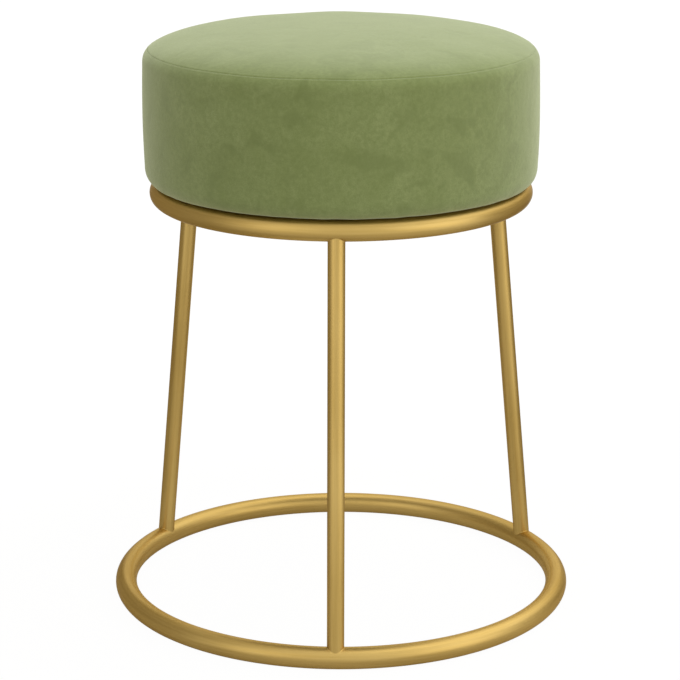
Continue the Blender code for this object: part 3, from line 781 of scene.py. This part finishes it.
def relief(along, turn):
    """How far the velvet stands off the plain outline: the settled cloth, the seam with its
    lips and puckers, the creases where the band turns under, and the puff of the hem."""
    waves = np.fft.rfft(cloth_off, axis=1)[:, 1:CLOTH_WAVES + 1] * 2 / CLOTH_STEPS
    around = np.exp(1j * np.outer(np.arange(1, CLOTH_WAVES + 1), turn))
    settled = [np.interp(along, cloth_along, one) for one in (waves @ around).real.T]
    beside = np.abs(along - SEAM_AT)
    seam = (SEAM_LIP_RISE * hill(beside - SEAM_LIP_PLACE, SEAM_LIP_WIDTH)
            - SEAM_GROOVE_DEPTH * hill(beside, SEAM_GROOVE_WIDTH))
    puff = HEM_PUFF * hill(along - HEM_AT - HEM_PUFF_PLACE, HEM_PUFF_WIDTH)
    puckers = wrinkles(hill(beside, PUCKER_REACH), along, turn, PUCKER_PITCH, SEAM_RADIUS)
    to_foot = (along - FOOT_AT) / (HEM_AT - FOOT_AT)
    creased = np.clip(to_foot + CREASE_START, 0, 1) ** 2 \
        * np.exp(-CREASE_FADE * np.maximum(to_foot - 1, 0))
    creases = wrinkles(creased, along, turn, CREASE_PITCH, CUSHION_RADIUS, CREASE_LEAN,
                       CREASE_LENGTH, CREASE_NOISE_SHIFT)
    return (np.stack(settled, 1) + (seam + puff)[:, None] + PUCKER_RISE * puckers
            + CREASE_RISE * creases)


def spaced(start, end, widest, at_seam=math.inf):
    """Distances along the outline, closer together towards the seam."""
    places = [start]
    while places[-1] < end:
        to_seam = abs(places[-1] - SEAM_AT)
        places.append(places[-1] + min(widest, at_seam + to_seam * ROW_GROWTH))
    places = np.array(places)
    return start + (places - start) * (end - start) / (places[-1] - start)


cushion_turn = once_round(CUSHION_STEPS)[:-1]


def foam_finish():
    """Open-cell foam: pale yellow with a cut surface, painted shade in each small cell."""
    material, tree, shader, _, place = new_finish("upholstery foam")
    cells = add_node(tree, "ShaderNodeTexVoronoi", {"Vector": place, "Scale": FOAM_CELLS})
    patches = clouds(tree, place, FOAM_PATCHES, detail=3, roughness=0.6)
    hollow = ranged(tree, cells.outputs["Distance"], FOAM_CELL_EDGES)
    # Painted shade: the colour darkens towards the hollow of each cell, more so in random patches.
    tone = ranged(tree, maths(tree, "MULTIPLY", hollow, patches), FOAM_TONES)
    set_inputs(tree, shader, {
        "Base Color": mixed(tree, tone, FOAM_CELL_SHADE_AND_PATCHES, FOAM_PALE),
        "Roughness": 0.95,
        "Specular IOR Level": 0.2,
        "Normal": bump(tree, hollow, FOAM_CELL_STRENGTH, FOAM_CELL_DEPTH)})
    return material


def foam_block():
    """The block under the velvet, hollowed below for the board."""
    under = VELVET_THICKNESS + FOAM_CLEARANCE
    along = np.concatenate([
        spaced(FOAM_FIRST_ROW, SEAM_AT, FOAM_CROWN_ROWS, FOAM_SEAM_ROWS),
        spaced(SEAM_AT, HEM_AT - FOAM_END_BEFORE_HEM, FOAM_SIDE_ROWS, FOAM_SEAM_ROWS)[1:]])
    turn = cushion_turn[::FOAM_TURN_EVERY]
    recess = lathe_rows([(BOARD_RECESS_RADIUS, HEM_UNDER + under),
                         (BOARD_RECESS_RADIUS, BOARD_TOP_CLEAR),
                         (BOARD_RECESS_RADIUS / 2, BOARD_TOP_CLEAR)], turn)
    rows = np.concatenate([wrapped(along, turn, relief(along, turn) - under), recess])
    return skin(rows, caps=[[0, 0, rows[0, :, 2].mean()], [0, 0, BOARD_TOP_CLEAR]],
                sharp=FOAM_SHARP)


foam = fit("foam_block", foam_block(), foam_finish(), "foam", "seat_foam")


# Velvet cover
# Olive-green velvet in two parts: a round top panel and a band round the side, sewn together
# right sides in, so that the seam is a fine groove between two soft lips. The band is drawn
# down tight, turned under the board and stapled.
SEAM_GAP = 0.06 * MM
VELVET_FIRST_ROW = 2 * MM
VELVET_CROWN_ROWS = 6 * MM
VELVET_SIDE_ROWS = 3.6 * MM
VELVET_FOOT_ROWS = 1.2 * MM
VELVET_HEM_ROWS = 3 * MM
VELVET_SEAM_ROWS = 0.28 * MM
INNER_ROW_EVERY = 4
VELVET_DEEP = (0.161, 0.200, 0.062, 1)
VELVET_FLAT = (0.206, 0.253, 0.082, 1)
VELVET_BRUSHED = (0.262, 0.312, 0.119, 1)
VELVET_SHEEN = (0.89, 0.955, 0.68, 1)
PILE_CLOUDS = 17
PILE_STROKES = (24, 46, 1)
PILE_TONES = (0.72, 1.28)
PILE_FIBRES = 1500
PILE_TUFTS = 300
PILE_GAPS = (0.12, 0.36)
PILE_GAP_SHADE = 0.7
PILE_STRENGTH = 0.5
PILE_DEPTH = 0.25 * MM
HAND_MARKS = 46
HAND_MARK_EDGES = (0.34, 0.46)
HAND_MARK_SHADE = 0.5
HAND_MARK_STRENGTH = 0.2
HAND_MARK_DEPTH = 1.2 * MM


def velvet():
    """Short dense pile: brushed a little this way and that, with a pale sheen at the edges."""
    material, tree, shader, measured, place = new_finish("olive velvet")
    cloudy = clouds(tree, place, PILE_CLOUDS, detail=4, roughness=0.55, warp=0.5)
    strokes = clouds(tree, measured, detail=4, roughness=0.6, stretch=PILE_STROKES, warp=0.9)
    fibres = clouds(tree, place, PILE_FIBRES, roughness=0.6)
    tufts = clouds(tree, place, PILE_TUFTS, detail=3, roughness=0.6)
    marks = clouds(tree, place, HAND_MARKS, roughness=0.4, warp=0.8)
    lie = ranged(tree, maths(tree, "ADD", cloudy, strokes), PILE_TONES)
    marked = ranged(tree, marks, HAND_MARK_EDGES, (HAND_MARK_SHADE, 0))
    gaps = ranged(tree, maths(tree, "MULTIPLY", fibres, tufts), PILE_GAPS, (PILE_GAP_SHADE, 0))
    pile = mixed(tree, marked, mixed(tree, lie, VELVET_FLAT, VELVET_BRUSHED), VELVET_DEEP)
    dents = bump(tree, marks, HAND_MARK_STRENGTH, HAND_MARK_DEPTH)
    height = maths(tree, "ADD", fibres, tufts)
    set_inputs(tree, shader, {
        "Base Color": mixed(tree, gaps, pile, VELVET_DEEP),
        "Roughness": 0.9,
        "Specular IOR Level": 0.15,
        "Sheen Weight": 0.84,
        "Sheen Roughness": 0.5,
        "Sheen Tint": VELVET_SHEEN,
        "Normal": bump(tree, height, PILE_STRENGTH, PILE_DEPTH, Normal=dents)})
    return material


def velvet_rows(along):
    """Rows along the outer side of the cloth, then fewer back along its inner side, and the
    distances of these."""
    off = relief(along, cushion_turn)
    every = np.arange(0, len(along), INNER_ROW_EVERY)
    back = np.unique(np.append(every, len(along) - 1))[::-1]
    inner = wrapped(along[back], cushion_turn, off[back] - VELVET_THICKNESS)
    return np.concatenate([wrapped(along, cushion_turn, off), inner]), along[back]


def velvet_top():
    """The round panel as a thin closed shell, with the edge drawn down into the seam."""
    rows, _ = velvet_rows(spaced(VELVET_FIRST_ROW, SEAM_AT - SEAM_GAP / 2, VELVET_CROWN_ROWS,
                                 VELVET_SEAM_ROWS))
    return skin(rows, caps=[[0, 0, rows[0, :, 2].mean()], [0, 0, rows[-1, :, 2].mean()]])


def velvet_band():
    """The side band as a thin closed shell, from the seam to the hem under the board."""
    along = np.concatenate([
        spaced(SEAM_AT + SEAM_GAP / 2, FOOT_AT, VELVET_SIDE_ROWS, VELVET_SEAM_ROWS),
        spaced(FOOT_AT, HEM_AT, VELVET_FOOT_ROWS)[1:], spaced(HEM_AT, END_AT, VELVET_HEM_ROWS)[1:]])
    rows, back = velvet_rows(along)
    return skin(rows, np.concatenate([along, back, along[:1]]),
                once_round(CUSHION_STEPS) * CUSHION_RADIUS, ring=True)


olive_velvet = velvet()
top_panel = fit("velvet_top_panel", velvet_top(), olive_velvet, "velvet", "cover_top_panel")
side_band = fit("velvet_side_band", velvet_band(), olive_velvet, "velvet", "cover_side_band")


# Dust cover
# A round of thin black non-woven cloth under the board. It hides the raw hem of the velvet,
# and the same staples hold it, so it is drawn in a little between them.
DUST_RADIUS = 136 * MM
DUST_TOP = 351.05 * MM
DUST_THICKNESS = 0.5 * MM
DUST_SAG = 1.4 * MM
DUST_SAG_RADIUS = 104 * MM
DUST_DRAWN_IN = 0.7 * MM
DUST_STEPS = 180
DUST_ROW = 4 * MM
DUST_BLACK = (0.012, 0.012, 0.013, 1)
DUST_GREY = (0.032, 0.032, 0.034, 1)
DUST_TONES = (0.15, 0.4)
DUST_FIBRES = (700, 180, 400)
DUST_CROSS_FIBRES = (180, 700, 400)
DUST_DOTS = 420
DUST_DOT_EDGES = (0.12, 0.3)
DUST_DOT_UNEVENNESS = 0.15
DUST_RELIEF_STRENGTH = 0.5
DUST_RELIEF_DEPTH = 0.12 * MM
STAPLES_IN_A_BAY = 6
STAPLE_CIRCLE = 130.5 * MM
STAPLE_CLEAR = 23 * MM
FIRST_STAPLE_TURN = math.asin(STAPLE_CLEAR / STAPLE_CIRCLE)
STAPLE_TURN = (math.tau / BAYS - 2 * FIRST_STAPLE_TURN) / (STAPLES_IN_A_BAY - 1)


def non_woven():
    """Black spun cloth: matted fibres with a grid of tiny pressed dots."""
    material, tree, shader, _, place = new_finish("black non-woven lining")
    fibres, crossing = (clouds(tree, place, detail=4, roughness=0.7, stretch=stretch)
                        for stretch in (DUST_FIBRES, DUST_CROSS_FIBRES))
    dots = add_node(tree, "ShaderNodeTexVoronoi", {
        "Vector": place, "Scale": DUST_DOTS, "Randomness": DUST_DOT_UNEVENNESS})
    matted = maths(tree, "MULTIPLY", fibres, crossing)
    pressed = ranged(tree, dots.outputs["Distance"], DUST_DOT_EDGES)
    height = maths(tree, "ADD", pressed, matted)
    set_inputs(tree, shader, {
        "Base Color": mixed(tree, ranged(tree, matted, DUST_TONES), DUST_BLACK, DUST_GREY),
        "Roughness": 0.85,
        "Specular IOR Level": 0.3,
        "Normal": bump(tree, height, DUST_RELIEF_STRENGTH, DUST_RELIEF_DEPTH)})
    return material


def dust_cover_mesh():
    """A flat closed round that sags a little in the middle, in one skin of two sides."""
    turn = once_round(DUST_STEPS)[:-1]
    in_bay = (turn - FIRST_TAB_TURN) % (math.tau / BAYS)
    past_staple = (in_bay - FIRST_STAPLE_TURN) / STAPLE_TURN
    drawn = DUST_RADIUS - DUST_DRAWN_IN * np.sin(math.pi * past_staple) ** 2
    over = []
    for share in np.linspace(0, 1, int(DUST_RADIUS / DUST_ROW) + 1)[1:]:
        reach = drawn * share
        sag = DUST_SAG * np.maximum(1 - (reach / DUST_SAG_RADIUS) ** 2, 0) ** 2
        over.append((reach, DUST_TOP - sag))
    under = [(reach, height - DUST_THICKNESS) for reach, height in over]
    middle = DUST_TOP - DUST_SAG
    return skin(lathe_rows(under + over[::-1], turn),
                caps=[[0, 0, middle - DUST_THICKNESS], [0, 0, middle]])


lining = fit("dust_cover_cloth", dust_cover_mesh(), non_woven(), "lining", "dust_cover")


# Staples
# Eighteen upholstery staples of flat zinc-plated wire, six between each two tabs, shot up
# through the lining and the hem into the board. A gun sets no two quite square.
STAPLE_CROWN = 10 * MM
STAPLE_LEG = 8 * MM
STAPLE_WIDTH = 1.2 * MM
STAPLE_WIRE = 0.6 * MM
STAPLE_SOFT = 0.12 * MM
STAPLE_BEND = 0.9 * MM
STAPLE_BEND_STEPS = 4
STAPLE_CROWN_TOP = 350.25 * MM
STAPLE_POINT = 0.3 * MM
STAPLE_SHARP = 50
STAPLE_CROOKED = math.radians(2.5)
STAPLE_SEED = 11


def staple_mesh():
    """Flat wire swept along a U, crown down, with chisel points."""
    half = STAPLE_CROWN / 2 - STAPLE_WIRE / 2
    centre = STAPLE_CROWN_TOP - STAPLE_WIRE / 2
    tip = STAPLE_CROWN_TOP + STAPLE_LEG
    path = [((-half, tip), (-1, 0))]
    for side in (-1, 1):
        for share in np.linspace(0, 1, STAPLE_BEND_STEPS + 1):
            angle = math.pi / 2 * (share if side < 0 else 1 - share)
            way = (side * math.cos(angle), -math.sin(angle))
            path.append(((side * (half - STAPLE_BEND) + way[0] * STAPLE_BEND,
                          centre + STAPLE_BEND + way[1] * STAPLE_BEND), way))
    path.append(((half, tip), (1, 0)))
    w, t, soft = STAPLE_WIDTH / 2, STAPLE_WIRE / 2, STAPLE_SOFT
    section = [(w - soft, t), (w, t - soft), (w, soft - t), (w - soft, -t),
               (soft - w, -t), (-w, soft - t), (-w, t - soft), (soft - w, t)]
    rows = [[(across, y + out[0] * off, z + out[1] * off) for across, off in section]
            for (y, z), out in path]
    return skin(rows, caps=[[0, -half, tip + STAPLE_POINT], [0, half, tip + STAPLE_POINT]],
                sharp=STAPLE_SHARP)


staples = copies_round_the_seat(
    staple_mesh(), zinc, BAYS, STAPLES_IN_A_BAY, STAPLE_CIRCLE,
    FIRST_TAB_TURN + FIRST_STAPLE_TURN, STAPLE_TURN, STAPLE_CROOKED, STAPLE_SEED)
fit("hem_staples", staples, zinc, "zinc_steel",
    *(f"staple_{number:02d}" for number in range(1, BAYS * STAPLES_IN_A_BAY + 1)))


# Studio floor and screens
# A pale floor that runs off to white all round, so that no horizon shows. A painted white
# patch on it, the card, and two grey screens, each with a grey mat before it, show only in the
# metal: they give the tubes their bright middles and dark edges.
FLOOR_HALF_WIDTH = 14.0
FLOOR_PALE = (0.48, 0.45, 0.40, 1)
WHITE = (1, 1, 1, 1)
FLOOR_SHADOW = (0.3, 0.9)
FLOOR_WHITE_NEAR = 0.93
FLOOR_LEVEL_NEAR = 1.045
FLOOR_SIDES = (-0.4, 0.3)
FLOOR_PAINTED_LIGHT_IN_METAL = (0.15, 0.42)
CARD_PLACE = (-0.08, -0.03, 0)
CARD_EDGE = (0.06, 0.11)
PAINTED_CARD_WHITE = 0.9
SCREEN_STEPS = 16
SCREEN_GREY = (0.39, 0.36, 0.31, 1)
SCREENS = {
    "left": {"turns": (-150, -58), "foot": 0.8, "top": 0.8, "height": 1.2},
    "right": {"turns": (85, 150), "foot": 0.8, "top": 2.5, "height": 0.95},
}
MAT_RADIUS = 0.3
MAT_RISE = 1 * MM


def seen_share(tree):
    """One for what the camera and the metal see, zero for the light that falls on things."""
    path = add_node(tree, "ShaderNodeLightPath").outputs
    seen = maths(tree, "MAXIMUM", path["Is Camera Ray"], path["Is Glossy Ray"])
    return maths(tree, "MAXIMUM", seen, path["Is Transmission Ray"])


def floor_finish():
    """Matt near the stool, where its shadow falls, and plain white further out. From below
    it is clear, so that the underside of the stool can be looked at. In the metal, painted light
    lies near the stool: lighter towards the right, where the right soft box falls, and darker
    towards the left, with a painted white patch, the card, inside the ring."""
    material = bpy.data.materials.new("studio floor")
    tree = empty_tree(material)
    place = add_node(tree, "ShaderNodeTexCoord").outputs["Object"]
    in_camera = add_node(tree, "ShaderNodeLightPath").outputs["Is Camera Ray"]
    across = add_node(tree, "ShaderNodeSeparateXYZ", {0: place}).outputs["X"]
    # Painted light in the metal: near the stool the floor is whiter towards the right, where the
    # right soft box falls, and darker towards the left.
    painted_light_in_metal = ranged(tree, across, FLOOR_SIDES, FLOOR_PAINTED_LIGHT_IN_METAL)
    near = ranged(tree, in_camera, (0, 1), (painted_light_in_metal, FLOOR_WHITE_NEAR))
    away = result(tree, "ShaderNodeVectorMath", {0: place}, operation="LENGTH")
    # Painted white patch, the card, inside the ring, that only the metal sees.
    off_card = result(tree, "ShaderNodeVectorMath", {0: place, 1: CARD_PLACE},
                      operation="DISTANCE")
    outside_ring = ranged(tree, away, FLOOR_SHADOW, (near, 1))
    on_card = ranged(tree, off_card, CARD_EDGE, (PAINTED_CARD_WHITE, near))
    share = maths(tree, "MULTIPLY", maths(tree, "MAXIMUM", outside_ring, on_card),
                  seen_share(tree))
    level = ranged(tree, in_camera, (0, 1), (1, FLOOR_LEVEL_NEAR))
    matt = result(tree, "ShaderNodeBsdfDiffuse", {"Color": FLOOR_PALE})
    white = result(tree, "ShaderNodeEmission", {"Color": WHITE, "Strength": level})
    seen = result(tree, "ShaderNodeMixShader", {0: share, 1: matt, 2: white})
    behind = add_node(tree, "ShaderNodeNewGeometry").outputs["Backfacing"]
    clear = result(tree, "ShaderNodeBsdfTransparent")
    both = result(tree, "ShaderNodeMixShader", {0: behind, 1: seen, 2: clear})
    add_node(tree, "ShaderNodeOutputMaterial", {"Surface": both})
    return material


def screen_finish():
    material = bpy.data.materials.new("grey screen")
    tree = empty_tree(material)
    grey = result(tree, "ShaderNodeEmission", {"Color": SCREEN_GREY})
    add_node(tree, "ShaderNodeOutputMaterial", {"Surface": grey})
    return material


def stage_piece(name, points, faces, material):
    mesh = bpy.data.meshes.new(name)
    mesh.from_pydata(points, [], faces)
    mesh.materials.append(material)
    item = placed(name, mesh)
    return item


def curved_sheet(name, turns, low, high):
    """A grey sheet between two arcs round the stool, each with its radius and height, that
    only light and metal see."""
    corners = []
    for turn in np.radians(np.linspace(*turns, SCREEN_STEPS + 1)):
        corners += [(radius * math.sin(turn), -radius * math.cos(turn), height)
                    for radius, height in (low, high)]
    faces = [(2 * k, 2 * k + 2, 2 * k + 3, 2 * k + 1) for k in range(SCREEN_STEPS)]
    sheet = stage_piece(name, corners, faces, grey_screen)
    sheet.visible_camera = False
    return sheet


floor_corners = [(x * FLOOR_HALF_WIDTH, y * FLOOR_HALF_WIDTH, 0)
                 for x, y in ((-1, -1), (1, -1), (1, 1), (-1, 1))]
stage_piece("studio_floor", floor_corners, [(0, 1, 2, 3)], floor_finish())
grey_screen = screen_finish()
for place, screen in SCREENS.items():
    turns, foot = screen["turns"], screen["foot"]
    curved_sheet(place + "_screen", turns, (foot, 0), (screen["top"], screen["height"]))
    mat = curved_sheet(place + "_mat", turns, (MAT_RADIUS, MAT_RISE), (foot, MAT_RISE))
    mat.visible_diffuse = mat.visible_shadow = False


# Lights
# Two large soft boxes in front, the right one stronger, and a wide one high up at the right
# rear. A plain white room fills in the rest.
ROOM_LEVEL = 0.80
SOFT_BOXES = {
    "right_soft_box": {"turn": 57, "lift": 9, "distance": 1.3, "size": (1.0, 0.86), "level": 1.0},
    "left_soft_box": {"turn": -36, "lift": 16, "distance": 1.4, "size": (0.5, 1.2), "level": 0.72},
    "top_soft_box": {"turn": 118, "lift": 62, "distance": 2.0, "size": (2.6, 2.6), "level": 0.88},
}
LIGHT_AIM = Vector((0, 0, 0.24))


def room():
    """White where it is seen, and a dimmer plain light on things."""
    world = bpy.data.worlds.new("white room")
    bpy.context.scene.world = world
    tree = empty_tree(world)
    level = ranged(tree, seen_share(tree), (0, 1), (ROOM_LEVEL, 1))
    light = result(tree, "ShaderNodeBackground", {"Color": WHITE, "Strength": level})
    add_node(tree, "ShaderNodeOutputWorld", {"Surface": light})


room()
for name, box in SOFT_BOXES.items():
    turn, lift = math.radians(box["turn"]), math.radians(box["lift"])
    way = Vector((math.sin(turn) * math.cos(lift), -math.cos(turn) * math.cos(lift),
                  math.sin(lift)))
    lamp = bpy.data.lights.new(name, "AREA")
    lamp.shape = "RECTANGLE"
    lamp.size, lamp.size_y = box["size"]
    lamp.energy = box["level"] * box["size"][0] * box["size"][1] * math.pi
    item = placed(name, lamp)
    item.location = LIGHT_AIM + way * box["distance"]
    item.rotation_euler = way.to_track_quat("Z", "Y").to_euler()
    item.visible_camera = False


# Camera
# A long lens two metres off, a little above the seat and almost straight in front.
PICTURE_WIDTH = 680
SENSOR_WIDTH = 36.0
FOCAL_PIXELS = 2481.5
CLIP_NEAR, CLIP_FAR = 0.1, 60.0
CAMERA_PLACE = Vector((0.0471, -1.9696, 0.7680))
CAMERA_LIFT = math.radians(15.695)
CAMERA_TURN = math.radians(1.397)

lens = bpy.data.cameras.new("camera")
lens.sensor_width = SENSOR_WIDTH
lens.lens = FOCAL_PIXELS * SENSOR_WIDTH / PICTURE_WIDTH
lens.clip_start, lens.clip_end = CLIP_NEAR, CLIP_FAR
camera = placed("camera", lens)
camera.location = CAMERA_PLACE
camera.rotation_euler = (math.pi / 2 - CAMERA_LIFT, 0, CAMERA_TURN)
bpy.context.scene.camera = camera
bpy.context.scene.view_settings.view_transform = "Standard"
